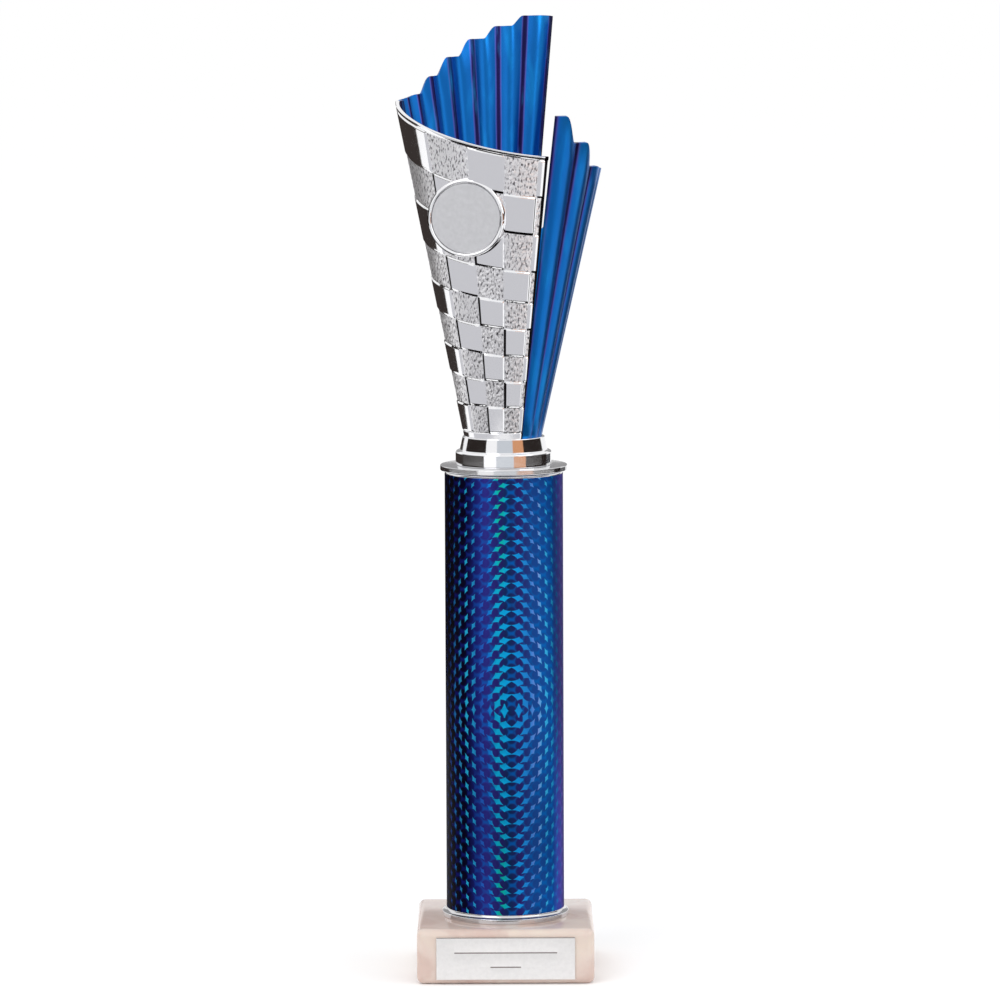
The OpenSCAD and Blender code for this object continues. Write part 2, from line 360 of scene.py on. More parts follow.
def makeFoil():
    # holographic polyester foil: a dark blue film with embossed dots, and between them painted
    # highlights, glints that turn round one bright centre
    material, tree, shader = newMaterial(
        "holographicBlueFoil", Metallic=0.85, Roughness=0.32, Specular_Tint="#20205A")
    low, high = heights("foil_wrap")
    girth = turn * reach("foil_wrap")
    pitch = (girth / foil["columns"], foil["rise"], 0)
    uv = addNode(tree, "UVMap", uv_map="wrap")
    place = addNode(tree, "VectorMath", [
        uv, (girth, high - low, 0),
        (-girth / 2 - foil["centreSide"], low - foil["centreHeight"], 0)], "MULTIPLY_ADD")
    around = addNode(tree, "SeparateXYZ", [uv]).outputs[0]
    # the pattern is the same on both sides of its middle, and its second grid of cells is moved
    # by half a cell both ways
    folded = addNode(tree, "VectorMath", [place], "ABSOLUTE")
    apart = addNode(tree, "SeparateXYZ", [folded]).outputs
    stars, dots = zip(*[foilGrid(tree, folded, pitch, shift) for shift in (0.0, 0.5)])
    # the glints are fullest level with the centre
    fullness = addNode(tree, "MapRange", [apart[1], 8.0, 70.0, 1.25, 0.95])
    star = addNode(tree, "Math", [addNode(tree, "Math", stars, "MINIMUM"), fullness], "DIVIDE")
    glint = addNode(tree, "MapRange", [star, 0.8, 0.98, 1, 0], interpolation_type="SMOOTHSTEP")
    nearest = addNode(tree, "Math", dots, "MINIMUM")
    dot = addNode(tree, "MapRange", [
        nearest, foil["dotRadius"] * 0.7, foil["dotRadius"] * 1.15, 0.9, 0],
        interpolation_type="SMOOTHSTEP")
    film, inside, spark = [setStops(addNode(tree, "ValToRGB", [around]), stops)
                           for stops in (filmAndPaintedLightColours, dotAndPaintedLightColours, paintedGlintColours)]
    # violet drifts through the film in patches about 4 mm wide; this place is in millimetres
    drift = addNode(tree, "TexNoise", {"Vector": place, "Scale": 1 / 4, "Detail": 2.0})
    patch = addNode(tree, "MapRange", [drift, 0.5, 0.68, 0, 0.55])
    violet = addNode(tree, "Mix", {0: patch, 6: film, 7: inside}, data_type="RGBA")
    dotted = addNode(tree, "Mix", {0: dot, 6: violet, 7: inside}, data_type="RGBA")
    # just left of the centre line, far from the centre, the glints turn green
    far = addNode(tree, "MapRange", [apart[1], 38.0, 62.0])
    leftLine = addNode(tree, "MapRange", [around, 0.485, 0.515, 1, 0])
    nearLine = addNode(tree, "MapRange", [apart[0], 4.0, 6.5, 1, 0])
    lineSide = addNode(tree, "Math", [leftLine, nearLine], "MULTIPLY")
    green = addNode(tree, "Math", [far, lineSide], "MULTIPLY")
    hue = addNode(tree, "Mix", {0: green, 6: spark, 7: linear("#10C090")}, data_type="RGBA")
    colour = addNode(tree, "Mix", {0: glint, 6: dotted, 7: hue}, data_type="RGBA")
    bump = addNode(tree, "Bump", {"Strength": 0.4, "Distance": 0.08 * mm, "Height": dot})
    setInputs(shader, {"Base Color": colour, "Normal": bump})
    return material


def makePlain(name, colour, darker, size, roughness, depth=0.02, **values):
    # an everyday finish: cloudy colour and a fine grain of a real size in millimetres
    material, tree, shader = newMaterial(name, Roughness=roughness, **values)
    place = addNode(tree, "TexCoord").outputs["Object"]
    grain = addNode(tree, "TexNoise", {"Vector": place, "Scale": perSize(size), "Detail": 4.0})
    tint = setStops(addNode(tree, "ValToRGB", [grain]), [(0.3, darker), (0.7, colour)])
    bump = addNode(tree, "Bump", {"Strength": 0.5, "Distance": depth * mm, "Height": grain})
    setInputs(shader, {"Base Color": tint, "Normal": bump})
    return material


marble = makeMarble()
brightCap = makeSpunMetal("polishedSpunAluminium", "#DADADC", 0.12, 0.25, 0.006)
silverPlastic = makeSilverPlastic()
# each lacquer's stops run from the plain blue to the painted shade in the creases; the inside's painted
# shade lies in a narrower band
blueOutside = makeBlueLacquer("blueLacquerOutside", [
    (0.0, "#0A6ABC"), (0.5, "#0862B2"), (0.66, "#2458B0"), (0.75, "#4A489C"), (0.86, "#181450"),
    (1.0, "#0E0B38")])
blueInside = makeBlueLacquer("blueLacquerInside", [
    (0.0, "#0760AA"), (0.84, "#0A5CA8"), (0.9, "#4A50A4"), (0.94, "#1A1450"), (1.0, "#120C40")])
holoFoil = makeFoil()
satinPlate = makePlain("satinAluminiumPlate", "#F0EEED", "#E9E7E6", 1.5, 0.42, 0.002, Metallic=0.85)
satinInsert = makePlain("satinAluminiumInsert", "#CFCFD2", "#C6C6C9", 1.5, 0.4, 0.002, Metallic=0.9)
engraved = makePlain("engravedLine", "#8F8684", "#7A716F", 0.2, 0.55, Metallic=0.6)
zincSteel = makePlain("zincPlatedSteel", "#C2C4C6", "#A5A8AB", 1.2, 0.32, Metallic=1.0)
darkSteel = makePlain("oiledSpringSteel", "#4A4A4C", "#333336", 1.0, 0.4, Metallic=1.0)
fibre = makePlain("vulcanisedFibre", "#8A3A22", "#6E2A18", 0.5, 0.7, 0.05)
tape = makePlain("foamTape", "#F0EFEA", "#DFDDD6", 0.3, 0.8, 0.04)
tubePlastic = makePlain("extrudedStyrene", "#ECECEA", "#E2E2DF", 3.0, 0.45)
brass = makePlain("knurledBrass", "#C9A050", "#A98238", 0.8, 0.3, Metallic=1.0)
print("materials made")

# base and plate

base = {
    "rounding": 2.5,  # mm
    "recessRadius": 12.5,
    "recessDepth": 10.5,
    "holeRadius": 3.3,
    "overshoot": 1,  # mm that the drill goes past each face
}


def makeBase():
    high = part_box("marble_base")[1]
    half, top = high.x / mm, high.z / mm
    corners = [(x, y, z) for z in (0, top) for y in (-half, half) for x in (-half, half)]
    faces = [(0, 2, 3, 1), (4, 5, 7, 6), (0, 1, 5, 4), (1, 3, 7, 5), (3, 2, 6, 7), (2, 0, 4, 6)]
    block = finishMesh(newMesh("marbleBase", corners, faces), marble)
    bevel = block.modifiers.new("edges", "BEVEL")
    bevel.width = base["rounding"] * mm
    bevel.segments = 6
    past, depth = base["overshoot"], base["recessDepth"]
    drill = lathe("drill", [
        (0, -past), (base["recessRadius"], -past), (base["recessRadius"], depth),
        (base["holeRadius"], depth), (base["holeRadius"], top + past), (0, top + past)], marble, 96)
    cut = block.modifiers.new("recess", "BOOLEAN")
    cut.object = drill
    cut.operation = "DIFFERENCE"
    applyModifiers(block)
    bpy.data.objects.remove(drill)
    block.data.set_sharp_from_angle(angle=math.radians(40))
    return block


standFor(makeBase(), "marble_base")

plate = {
    "edge": 0.22,  # mm, chamfer
    "ruleWidth": 0.45,
    "ruleDepth": 0.08,
    "rules": [(0.64, 37.0), (0.3, 11.0)],  # height share and length of each engraved guide line
    "margin": 1,  # mm along the border where nothing is engraved
}


def makePlate():
    # a thin plate with two engraved guide lines where a winner's words would go
    low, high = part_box("engraving_plate")
    half = (high.x - low.x) / mm / 2
    bottom, top = low.z / mm, high.z / mm
    front, back = low.y / mm, high.y / mm
    edge, rule, margin = plate["edge"], plate["ruleWidth"] / 2, plate["margin"]
    rules = [(bottom + (top - bottom) * share, length / 2) for share, length in plate["rules"]]
    xs, zs = {-half, edge - half, half - edge, half}, {bottom, bottom + edge, top - edge, top}
    for middle, reached in rules:
        zs |= {middle - rule, middle, middle + rule}
        xs |= {-reached, rule - reached, reached - rule, reached}
    xs, zs = sorted(xs), sorted(zs)

    def depthAt(x, z):
        if any(z == middle and abs(x) < reached for middle, reached in rules):
            return plate["ruleDepth"]
        return edge if x in (xs[0], xs[-1]) or z in (zs[0], zs[-1]) else 0.0

    cols, rows = len(xs), len(zs)
    points = [(x, front + depthAt(x, z), z) for z in zs for x in xs]
    faces = [(j * cols + i, j * cols + i + 1, (j + 1) * cols + i + 1, (j + 1) * cols + i)
             for j in range(rows - 1) for i in range(cols - 1)]
    border = ([i for i in range(cols)] + [j * cols + cols - 1 for j in range(1, rows)]
              + [(rows - 1) * cols + i for i in range(cols - 2, -1, -1)]
              + [j * cols for j in range(rows - 2, 0, -1)])
    behind = [len(points) + i for i in range(len(border))]
    points += [(points[k][0], back, points[k][2]) for k in border]
    faces += joinRings([border, behind]) + [behind]
    piece = finishMesh(newMesh("engravingPlate", points, faces), satinPlate, 20)
    piece.data.materials.append(engraved)
    for face in piece.data.polygons:
        centre = face.center / mm
        deep = any(piece.data.vertices[v].co.y / mm > front + plate["ruleDepth"] / 2
                   for v in face.vertices)
        inside = abs(centre.x) < half - margin and bottom + margin < centre.z < top - margin
        # the cut top edge is as dark as the engraving
        topEdge = centre.z > top - edge and face.normal.y < -0.2
        if topEdge or deep and inside and face.normal.y < -0.5:
            face.material_index = 1
    return piece


standFor(makePlate(), "engraving_plate")
print("base and plate made")

# column

cap = {
    "lip": 1.9,  # mm, upright edge of the flange
    "rounding": 0.25,
    "coveStart": 12,  # degrees into the cove at which it leaves the lip
    "wall": 2.0,
    "spigot": 8.0,
    "chamfer": 0.8,
    "floor": 2.0,
    "hole": 3.3,
    "gap": 0.05,
}
hold = 0.1  # mm from a rounding to the extra point that keeps the straight beside it flat


def makeCap(name, node, down):
    # spun cap: a thin lip, a hollow cove up to the column, and a spigot inside the tube
    low, high = heights(node)
    flange, lip, edge = reach(node), cap["lip"], cap["rounding"]
    top = high - low
    tall = top - cap["spigot"]
    step = flange - reach("foil_wrap") - cap["gap"]
    outline = [(flange - edge, 0)] + arc(flange - edge, edge, edge, -90, 0)
    outline += [(flange, edge + hold), (flange, lip - edge - hold)]
    outline += arc(flange - edge, lip - edge, edge, 0, 60)
    for i in range(11):
        t = math.radians(cap["coveStart"] + (90 - cap["coveStart"]) * i / 10)
        outline.append((flange - edge - step * math.sin(t), lip + (tall - lip) * (1 - math.cos(t))))
    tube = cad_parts["column_tube"].data
    inner = min(math.hypot(v.co.x, v.co.y) for v in tube.vertices) / mm - cap["gap"]
    outline += [(inner, tall), (inner, top - cap["chamfer"]), (inner - cap["chamfer"], top),
                (inner - cap["wall"], top), (inner - cap["wall"], cap["floor"]),
                (cap["hole"], cap["floor"]), (cap["hole"], 0)]
    outline = [(r, high - z) if down else (r, low + z) for r, z in outline]
    standFor(lathe(name, outline, brightCap, 192, 30), node)


makeCap("bottomCap", "bottom_cap", False)
makeCap("topCap", "top_cap", True)

wrap = {
    "thickness": 0.15,  # mm
    "lap": 7.0,  # mm of overlap at the back
    "lapStep": 0.06,
    "segments": 240,
}


def makeWrap():
    # the foil as one sheet round the tube, its lapped edge at the back
    low, high = heights("foil_wrap")
    radius, count = reach("foil_wrap"), wrap["segments"]
    inside = radius - wrap["thickness"]
    points, faces, uvs = [], [], []
    for i in range(count):
        angle = turn * i / count  # 0 is the back, going round by the left
        outside = radius - (0 if angle < wrap["lap"] / radius else wrap["lapStep"])
        for r, z in ((outside, low), (outside, high), (inside, high), (inside, low)):
            points.append((-r * math.sin(angle), r * math.cos(angle), z))
        here, after = 4 * i, 4 * ((i + 1) % count)
        for k in range(4):
            m = (k + 1) % 4
            faces.append((here + k, after + k, after + m, here + m))
            uvs += [((i + a) / count, (0, 1, 1, 0)[c]) for a, c in ((0, k), (1, k), (1, m), (0, m))]
    mesh = newMesh("foilWrap", points, faces)
    layer = mesh.uv_layers.new(name="wrap")
    for loop, uv in zip(layer.data, uvs):
        loop.uv = uv
    return finishMesh(mesh, holoFoil, 30)


standFor(makeWrap(), "foil_wrap")
finishNode("column_tube", tubePlastic)
print("column made")

# cup foot

foot = {
    "drumRadius": 17.4,  # mm
    "drumHeight": 5.3,
    "neckLow": 15.8,  # radius of the neck at its foot
    "neckHigh": 14.9,
    "shoulder": 0.9,
    "edge": 0.35,
    "fillet": 0.3,
    "pocketRadius": 10.5,
    "pocketDepth": 7.4,
    "plugLow": 12.0,  # radius of the plug at its foot
    "plugHigh": 13.35,
    "plugHeight": 7.5,
    "insertRadius": 4.6,
    "holeRadius": 3.3,
}


def makeFoot():
    # chrome foot: a low drum with a rounded shoulder, a tapering neck, and the plug in the shells
    low, high = heights("cup_foot")
    plugTop = high - low
    top = plugTop - foot["plugHeight"]
    drum, drumTop, shoulder = foot["drumRadius"], foot["drumHeight"], foot["shoulder"]
    edge, fillet, neck = foot["edge"], foot["fillet"], foot["neckLow"]
    outline = [(foot["pocketRadius"], 0)] + arc(drum - edge, edge, edge, -90, 0)
    outline += [(drum, edge + hold), (drum, drumTop - shoulder - hold)]
    outline += arc(drum - shoulder, drumTop - shoulder, shoulder, 0, 90, 8)
    outline += arc(neck + fillet, drumTop + fillet, fillet, -90, -180)
    outline += [(neck, drumTop + fillet + 2 * hold), (foot["neckHigh"], top - edge - hold)]
    outline += arc(foot["neckHigh"] - edge, top - edge, edge, 0, 90)
    outline += [(foot["plugLow"], top), (foot["plugHigh"], plugTop), (foot["insertRadius"], plugTop),
                (foot["insertRadius"], top), (foot["holeRadius"], top),
                (foot["holeRadius"], foot["pocketDepth"]), (foot["pocketRadius"], foot["pocketDepth"])]
    return lathe("cupFoot", [(r, low + z) for r, z in outline], silverPlastic, 192, 40)


standFor(makeFoot(), "cup_foot")
print("foot made")

# checkered front shell

front = {
    "footRadius": 14.4,  # mm, outside radius at the foot
    "flare": 0.2009,  # radius gained per mm of height
    "wall": 1.6,
    "columns": [-95, -48.5, -21.5, 0.8, 22.2, 28],  # degrees from the front, minus is the viewer's left
    "rows": [10, 10, 10, 10.5, 10.5, 12, 14.5, 14.5, 14.5],  # relative heights from the foot up
    "rimMiddle": 112.5,  # mm, height of the rim's plane on the axis
    "rimTilt": 16.5,  # degrees
    "rimHigh": 223,
    "firstRow": 2.2,  # mm above the foot
    "rimBand": 1.5,
    "border": 0.1,  # mm that the plain bands lie below the smooth checks
    "tile": 0.42,  # mm the smooth checks stand above the grained ones
    "bevel": 0.5,
    "grainSize": 1.0,
    "grainDepth": 0.14,
    "sample": 0.36,  # mm between mesh points
    "shadeLineSide": 0.6,  # mm, width of the painted shadow lines along the smooth checks
    "shadeLineFoot": 0.8,
    "seamShade": 2.2,  # degrees of painted shadow beside the blue half
    "innerRows": 12,
}


def frontRim(angle):
    # height where the cone meets the rim's sloping plane
    slope = math.tan(math.radians(front["rimTilt"])) * math.cos(math.radians(angle - front["rimHigh"]))
    return (front["rimMiddle"] + slope * front["footRadius"]) / (1 - slope * front["flare"])


def frontRadius(height):
    return front["footRadius"] + front["flare"] * height


def spacedEdges(edges, bevel, size, fewest):
    # sample places along one direction: each cell's two bevels and even steps between them
    places = []
    for low, high in zip(edges, edges[1:]):
        count = max(fewest, round((high - low) * size / front["sample"]))
        places += [low, low + bevel]
        places += [low + bevel + (high - low - 2 * bevel) * i / count for i in range(1, count)]
        places.append(high - bevel)
    return places + [edges[-1]]


def easeIn(value):
    value = max(0.0, min(1.0, value))
    return value * value * (3 - 2 * value)


columns = front["columns"]
rows = [sum(front["rows"][:k]) / sum(front["rows"]) for k in range(len(front["rows"]) + 1)]
rowSpan = frontRim(-20) - front["firstRow"] - front["rimBand"]  # mm, 20 degrees to the left


def relief(angle, share, height):
    # how far the surface is sunk, how grained it is and how dark its painted shadow line is; the
    # tiny margins leave a point on an edge in the next check
    column = max(k for k in range(len(columns) - 1) if angle >= columns[k] - 1e-6)
    row = max(k for k in range(len(rows) - 1) if share >= rows[k] - 1e-9)
    fromTop = len(rows) - 2 - row
    radius = frontRadius(height)
    fromLeft = (angle - columns[column]) * math.radians(radius)
    fromRight = (columns[column + 1] - angle) * math.radians(radius)
    fromFoot = (share - rows[row]) * rowSpan
    fromHead = (rows[row + 1] - share) * rowSpan
    inside = easeIn(min(fromLeft, fromRight, fromFoot, fromHead) / front["bevel"])
    if (fromTop + column) % 2 == 0:
        # a smooth check has a painted shadow line on the side away from the front, and high up at its
        # foot
        wide = front["shadeLineSide"]
        onLeft = column in (1, 2) or column == 3 and fromTop > 4
        line = (onLeft and fromTop > 0 and fromLeft < wide * (2 if column == 1 else 1.2)
                or column == 3 and fromTop <= 4 and fromRight < wide
                or column in (2, 3) and fromTop < 2 and fromFoot < front["shadeLineFoot"]
                or column == 2 and fromTop == 0 and fromHead < wide / 2)
        return front["tile"] * (1 - inside), 0.0, float(line)
    # two octaves of noise, drawn out along a lean to the right
    side = math.radians(angle) * radius
    where = Vector((side - height, 0.45 * (side + height), 0)) / front["grainSize"]
    bump = noise.noise(where) + 0.5 * noise.noise(where * 2.1 + Vector((7, 3, 5)))
    return front["tile"] - front["grainDepth"] * bump * inside, inside, 0.0


def frontStrip(angle, shares):
    # the shell's outline at one angle, up the outside and down the inside: height, how far it lies
    # inside the cone, grain and painted shadow line
    rim = frontRim(angle)
    low, top = front["firstRow"], rim - front["rimBand"]
    strip = [(0.0, front["border"], 0.0, 0.0), (low - 0.3, front["border"], 0.0, 0.0)]
    for share in shares:
        height = low + (top - low) * share
        strip.append((height, *relief(angle, share, height)))
    # the rim's plain band and its rounded edge
    for height, sink in ((top + 0.25, front["border"]), (rim - 0.25, 0.05), (rim, 0.3),
                         (rim, front["wall"] - 0.3)):
        strip.append((height, sink, 0.0, 0.0))
    for i in range(front["innerRows"] + 1):
        strip.append(((rim - 0.3) * (1 - i / front["innerRows"]), front["wall"], 0.0, 0.0))
    return strip


def makeFrontShell():
    middle = math.radians(1) * frontRadius(60)  # mm per degree, half way up
    angles = spacedEdges(columns, front["bevel"] * 0.7 / middle, middle, 4)
    shares = spacedEdges(rows, front["bevel"] / rowSpan, rowSpan, 6)
    points, rings, unrolled, shadeLines = [], [], [], []
    for angle in angles:
        a = math.radians(angle)
        strip = frontStrip(angle, shares)
        rings.append([len(points) + k for k in range(len(strip))])
        for height, sink, grain, line in strip:
            radius = frontRadius(height) - sink
            point = (radius * math.sin(a), -radius * math.cos(a), shellLow + height)
            points.append(underDisc(point) if sink < 1 else point)
            unrolled.append((a * frontRadius(height) * mm, height * mm, grain))
            shadeLines.append(1.0 if angle > columns[-1] - front["seamShade"] else line)
    faces = joinRings(rings) + [rings[0], rings[-1][::-1]]
    boss, bossFaces, bossShadeLines = bossMesh(len(points))
    mesh = newMesh("cupFrontShell", points + boss, faces + bossFaces)
    unrolled += [(0, 0, 0)] * len(boss)
    attribute = mesh.attributes.new("unrolled", "FLOAT_VECTOR", "POINT")
    attribute.data.foreach_set("vector", [c for place in unrolled for c in place])
    attribute = mesh.attributes.new("paintedShade", "FLOAT", "POINT")
    attribute.data.foreach_set("value", shadeLines + bossShadeLines)
    return finishMesh(mesh, silverPlastic, 50)


disc = {
    "radius": 12.5,  # mm
    "gap": 0.05,
    "turn": -12,  # degrees, the way it faces
    "middle": (-13.15, -30.6, 80.7),  # mm from the axis and above the foot
    "thickness": 0.6,
    "bossRadius": 14.0,
    "lip": 0.45,
    "floor": 0.85,  # mm below the lip's base, where the pad lies
    "seat": 13.2,  # radius within which the shell stays below that floor
    "shadow": (140, 255),  # degrees round the holder with a painted shadow line outside the lip
    "segments": 96,
}


def discPoint(radius, angle, depth):
    # a point on the disc's own axes, depth counted outwards from its face
    facing = math.radians(disc["turn"])
    x, y, z = disc["middle"]
    side = radius * math.cos(angle)
    return (x + side * math.cos(facing) + depth * math.sin(facing),
            y + side * math.sin(facing) - depth * math.cos(facing),
            shellLow + z + radius * math.sin(angle))


def underDisc(point):
    # keeps the shell's outside below the disc's seat
    facing = math.radians(disc["turn"])
    x, y, z = disc["middle"]
    dx, dy, dz = point[0] - x, point[1] - y, point[2] - shellLow - z
    depth = dx * math.sin(facing) - dy * math.cos(facing)
    side = dx * math.cos(facing) + dy * math.sin(facing)
    if math.hypot(side, dz) > disc["seat"] or depth < -disc["floor"]:
        return point
    back = depth + disc["floor"]
    return (point[0] - back * math.sin(facing), point[1] + back * math.cos(facing), point[2])


def depthInWall(radius, angle):
    # how far behind the disc's face the middle of the cone's wall lies, found by halving
    low, high = -25.0, 6.0
    for _ in range(30):
        depth = (low + high) / 2
        x, y, z = discPoint(radius, angle, depth)
        outside = math.hypot(x, y) > frontRadius(z - shellLow) - front["wall"] / 2
        low, high = (low, depth) if outside else (depth, high)
    return depth


def discRings(first, outline):
    # rings round the disc's middle from (radius, depth), where a depth may be a function
    count = disc["segments"]
    points, rings = [], []
    for radius, depth in outline:
        angles = [turn * i / count for i in range(count if radius > 0 else 1)]
        rings.append([first + len(points) + i % len(angles) for i in range(count)])
        points += [discPoint(radius, a, depth(radius, a) if callable(depth) else depth) for a in angles]
    return points, rings


def bossMesh(first):
    # the round holder for the disc: recess, rounded lip and a back that ends in the shell's wall
    lip, floor, edge, radius = disc["lip"], disc["floor"], disc["bossRadius"], disc["radius"]
    start, end = (math.radians(a) for a in disc["shadow"])

    def buried(distance, angle):
        return min(depthInWall(distance, angle), lip - 0.7)

    seen = [(0.0, -floor), (radius + disc["gap"], -floor), (radius + 2 * disc["gap"], lip - 0.3),
            (radius + 0.35, lip), (radius + 0.9, lip + 0.05), (edge - 0.2, lip - 0.2),
            (edge, lip - 0.6)]
    hidden = [(edge + 0.25, buried), (9.0, buried), (4.5, buried), (0.0, depthInWall)]
    points, rings = discRings(first, seen + hidden)
    lines = [0.0] * len(points)
    # the painted shadow line lies on the two outermost rings of the lip
    for ring in rings[len(seen) - 2:len(seen)]:
        for i, number in enumerate(ring):
            lines[number - first] = float(start < turn * i / len(ring) < end)
    return points, joinRings(rings), lines


def makeDisc():
    # plain satin insert with a softened edge
    edge, thick = disc["radius"] - disc["gap"], disc["thickness"]
    points, rings = discRings(0, [(0.0, -thick), (edge, -thick), (edge, -0.15), (edge - 0.15, 0.0),
                                  (0.0, 0.0)])
    return finishMesh(newMesh("centreDisc", points, joinRings(rings)), satinInsert, 30)


standFor(makeFrontShell(), "cup_front_shell")
standFor(makeDisc(), "centre_disc")
print("front shell and disc made")

# fluted back shell

back = {
    "footRadius": 13.87,  # mm, crest radius at the foot
    "flare": 0.2155,
    "lean": 0.01,  # sideways drift of the axis per mm of height
    "wall": 1.4,
    "seam": 28.0,  # degrees from the front
    "edge": 157.0,  # where the tall wing's straight edge stands
    "left": 265.0,
    "footDepth": 0.3,  # mm, depth of the flutes at the foot
    "depthGain": 1.9 / 150,
    "lowRim": 116.7,  # mm above the foot
    "lowDrops": [9.8, 9.0, 1.2, 7.5, 6.5, 5.5, 4.5],  # mm, one for each flute's scallop
    "lowStep": (0.33, 0.81),  # where in its flute a scallop starts and ends
    "tallRim": 150.0,
    "tallDrops": [3.8, 4.6, 6.3, 6.7, 6.2, 1.0, 0.6, 0.4],
    "tallStep": (1.0, 1.52),
    "columns": 475,
    "rows": 14,
    "round": 0.3,
}


def newTree(name, sizes):
    # a Geometry Nodes tree with a number to set for each size, and those numbers' sockets
    tree = bpy.data.node_groups.new(name, "GeometryNodeTree")
    for direction in ("INPUT", "OUTPUT"):
        tree.interface.new_socket("Geometry", in_out=direction, socket_type="NodeSocketGeometry")
    for size in sizes:
        tree.interface.new_socket(size, in_out="INPUT", socket_type="NodeSocketFloat")
    return tree, addNode(tree, "NodeGroupInput").outputs


def endTree(tree, geometry, place, material):
    # moves the points to their places, given in millimetres, sets the material and ends the tree
    metres = addNode(tree, "VectorMath", {0: place, "Scale": mm}, "SCALE")
    placed = addNode(tree, "GeometryNodeSetPosition", {"Geometry": geometry, "Position": metres})
    real = addNode(tree, "GeometryNodeRealizeInstances", [placed])
    finished = addNode(tree, "GeometryNodeSetMaterial", {"Geometry": real, "Material": material})
    addNode(tree, "NodeGroupOutput", [finished])


def backTree(sizes):
    # one sheet: angle and height from a flat grid, then rolled into the fluted cone
    tree, size = newTree("flutedCone", sizes)
    grid = addNode(tree, "GeometryNodeMeshGrid", {
        "Size X": 1.0, "Size Y": 1.0, "Vertices X": back["columns"], "Vertices Y": back["rows"]})
    flat = addNode(tree, "SeparateXYZ", [addNode(tree, "GeometryNodeInputPosition")]).outputs
    angle = addNode(tree, "MapRange", [flat[0], -0.5, 0.5, size["seam"], size["left"]])
    share = addNode(tree, "Math", [flat[1], 0.5], "ADD")
    atEdge = addNode(tree, "Math", [angle, size["edge"], 0.02], "COMPARE")
    past = addNode(tree, "Math", [angle, size["edge"]], "GREATER_THAN")
    isTall = addNode(tree, "Math", [atEdge, past], "MAXIMUM")
    # each scallop is one eased step, taken off the rim in turn
    counts, rims = [], []
    for start, end, wing in (("seam", "edge", "low"), ("edge", "left", "tall")):
        drops, (first, last) = back[wing + "Drops"], back[wing + "Step"]
        counts.append(addNode(tree, "MapRange", [
            angle, size[start], size[end], 0, float(len(drops))], clamp=False))
        rim = size[wing + "Rim"]
        for k, drop in enumerate(drops):
            step = addNode(tree, "MapRange", [
                counts[-1], k + first, k + last, 0, drop], interpolation_type="SMOOTHSTEP")
            rim = addNode(tree, "Math", [rim, step], "SUBTRACT")
        rims.append(rim)
    rim = addNode(tree, "Mix", {0: isTall, 2: rims[0], 3: rims[1]}, data_type="FLOAT")
    count = addNode(tree, "Mix", {0: isTall, 2: counts[0], 3: counts[1]}, data_type="FLOAT")
    height = addNode(tree, "Math", [share, rim], "MULTIPLY")
    halfTurns = addNode(tree, "Math", [count, math.pi], "MULTIPLY")
    rib = addNode(tree, "Math", [addNode(tree, "Math", [halfTurns], "SINE")], "ABSOLUTE")
    valley = addNode(tree, "Math", [1.0, rib], "SUBTRACT")
    depth = addNode(tree, "Math", [height, size["depthGain"], size["footDepth"]], "MULTIPLY_ADD")
    crest = addNode(tree, "Math", [height, size["flare"], size["footRadius"]], "MULTIPLY_ADD")
    cut = addNode(tree, "Math", [depth, valley], "MULTIPLY")
    radius = addNode(tree, "Math", [crest, cut], "SUBTRACT")
    turned = addNode(tree, "Math", [angle], "RADIANS")
    sideways = addNode(tree, "Math", [turned], "SINE")
    ahead = addNode(tree, "Math", [addNode(tree, "Math", [turned], "COSINE"), -1.0], "MULTIPLY")
    facing = addNode(tree, "CombineXYZ", [sideways, ahead])
    ring = addNode(tree, "VectorMath", {0: facing, "Scale": radius}, "SCALE")
    drift = addNode(tree, "Math", [height, size["lean"]], "MULTIPLY")
    raised = addNode(tree, "Math", [height, shellLow], "ADD")
    lift = addNode(tree, "CombineXYZ", [drift, 0.0, raised])
    place = addNode(tree, "VectorMath", [ring, lift], "ADD")
    kept = addNode(tree, "GeometryNodeStoreNamedAttribute", {
        "Geometry": grid.outputs["Mesh"], "Name": "valley", "Value": valley},
        data_type="FLOAT", domain="POINT")
    endTree(tree, kept, place, blueOutside)
    return tree


def growPiece(name, tree, values):
    # runs a Geometry Nodes tree with its named inputs set, and keeps the plain mesh
    piece = addObject(name, bpy.data.meshes.new(name))
    modifier = piece.modifiers.new("grow", "NODES")
    modifier.node_group = tree
    sockets = {item.name: item.identifier for item in tree.interface.items_tree
               if item.item_type == "SOCKET" and item.in_out == "INPUT"}
    for key, value in values.items():
        modifier[sockets[key]] = value
    return applyModifiers(piece)


def makeBackShell():
    sizes = ["footRadius", "flare", "lean", "seam", "edge", "left", "footDepth", "depthGain",
             "lowRim", "tallRim"]
    piece = growPiece("cupBackShell", backTree(sizes), {size: back[size] for size in sizes})
    piece.data.materials.append(blueInside)
    work = bmesh.new()
    work.from_mesh(piece.data)
    for face in work.faces:
        centre = face.calc_center_median()
        if face.normal.dot(Vector((centre.x, centre.y, 0))) < 0:
            face.normal_flip()
    work.to_mesh(piece.data)
    work.free()
    thick = piece.modifiers.new("wall", "SOLIDIFY")
    thick.thickness = back["wall"] * mm
    thick.offset = -1.0
    thick.material_offset = 1  # the wall's inside takes the second material
    soft = piece.modifiers.new("edges", "BEVEL")
    soft.width = back["round"] * mm
    soft.segments = 2
    soft.limit_method = "ANGLE"
    soft.angle_limit = math.radians(60)
    applyModifiers(piece)
    piece.data.shade_smooth()
    piece.data.set_sharp_from_angle(angle=math.radians(40))
    return piece


standFor(makeBackShell(), "cup_back_shell")
print("back shell made")

# rod and fasteners

rod = {
    "radius": 3.0,  # mm, M6
    "pitch": 1.0,
    "depth": 0.55,
    "taper": 0.7,  # mm over which the thread fades in at each end
    "endCut": 0.6,
    "segments": 24,
    "rowsPerPitch": 6,
}


